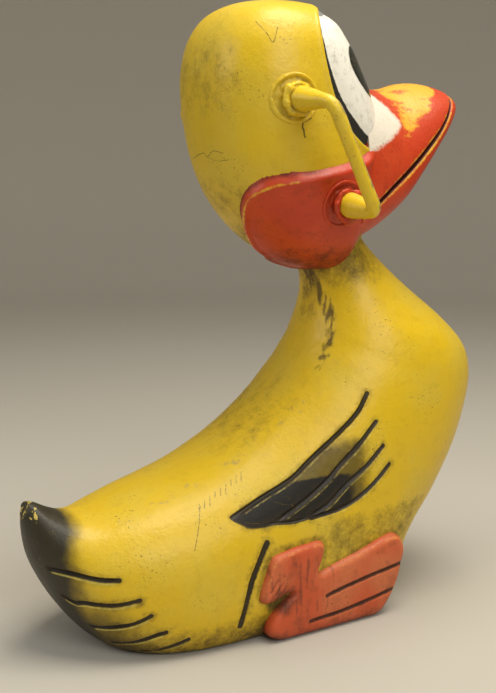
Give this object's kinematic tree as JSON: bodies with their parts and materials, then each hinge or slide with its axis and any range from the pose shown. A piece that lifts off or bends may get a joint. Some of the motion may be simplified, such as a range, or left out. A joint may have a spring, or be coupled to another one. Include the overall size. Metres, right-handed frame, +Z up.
{
  "type": "playground ride-on duck",
  "caption": "Hollow painted aluminium ride-on duck with a saddle-shaped back, welded grab handles and webbed feet, which bolts onto a playground spring",
  "frame": {"origin": "centre of the footprint of the whole duck, on the floor", "axes": "+X is the way the duck faces, +Y is its left side, +Z is up"},
  "size_m": [0.646, 0.357, 0.762],
  "materials": {
    "yellow_enamel": "cast aluminium under thick yellow enamel, satin gloss with orange peel, grime and fine scratches",
    "orange_enamel": "cast aluminium under orange-red enamel, worn through to yellow on high edges",
    "coral_enamel": "cast aluminium under faded coral-red enamel, dusty, grime in the toe grooves",
    "yellow_handle_enamel": "welded round aluminium bar under yellow enamel, worn to metal on the grip",
    "bare_aluminium": "dull machined aluminium",
    "bare_steel": "mill-finish steel plate with light rust",
    "zinc_steel": "zinc-plated steel, dull"
  },
  "bodies": {
    "root": {"torso_right_shell": "yellow_enamel", "torso_left_shell": "yellow_enamel", "head_right_shell": "yellow_enamel", "head_left_shell": "yellow_enamel", "cheek_right": "orange_enamel", "cheek_left": "orange_enamel", "upper_bill": "orange_enamel", "lower_bill": "orange_enamel", "foot_right": "coral_enamel", "foot_left": "coral_enamel", "handle_right": "yellow_handle_enamel", "handle_left": "yellow_handle_enamel", "upper_boss_right": "yellow_enamel", "upper_boss_left": "yellow_enamel", "lower_boss_right": "orange_enamel", "lower_boss_left": "orange_enamel", "upper_weld_right": "yellow_handle_enamel", "upper_weld_left": "yellow_handle_enamel", "lower_weld_right": "orange_enamel", "lower_weld_left": "orange_enamel", "neck_sleeve": "bare_aluminium", "spring_plate": "bare_steel", "plate_bolts": "zinc_steel", "plate_washers": "zinc_steel"}
  },
  "joints": []
}
